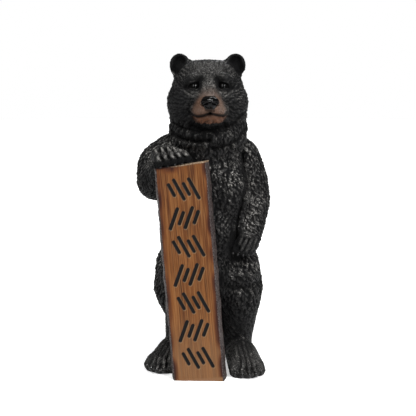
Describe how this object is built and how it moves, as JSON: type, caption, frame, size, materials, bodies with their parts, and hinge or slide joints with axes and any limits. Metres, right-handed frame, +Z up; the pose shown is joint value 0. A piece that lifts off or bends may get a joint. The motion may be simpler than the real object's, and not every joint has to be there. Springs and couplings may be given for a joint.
{
  "type": "standing black bear statue with a sign board",
  "caption": "Standing black bear statue, cast and painted, that rests one paw on the top of a leaning wooden sign board.",
  "frame": {"origin": "on the floor, under the middle of the statue's box", "axes": "+Z up along the standing figure, -Y the way that the bear and the board face, +X to the viewer's right"},
  "size_m": [0.2604, 0.2344, 0.6091],
  "materials": {
    "black_fur": "cast resin, painted charcoal black, with satin tips on the fur",
    "sign_wood": "cast resin with wood grain, stained orange brown, with rough grey edges"
  },
  "bodies": {
    "root": {"bear": "black_fur", "sign_board": "sign_wood"}
  },
  "joints": []
}
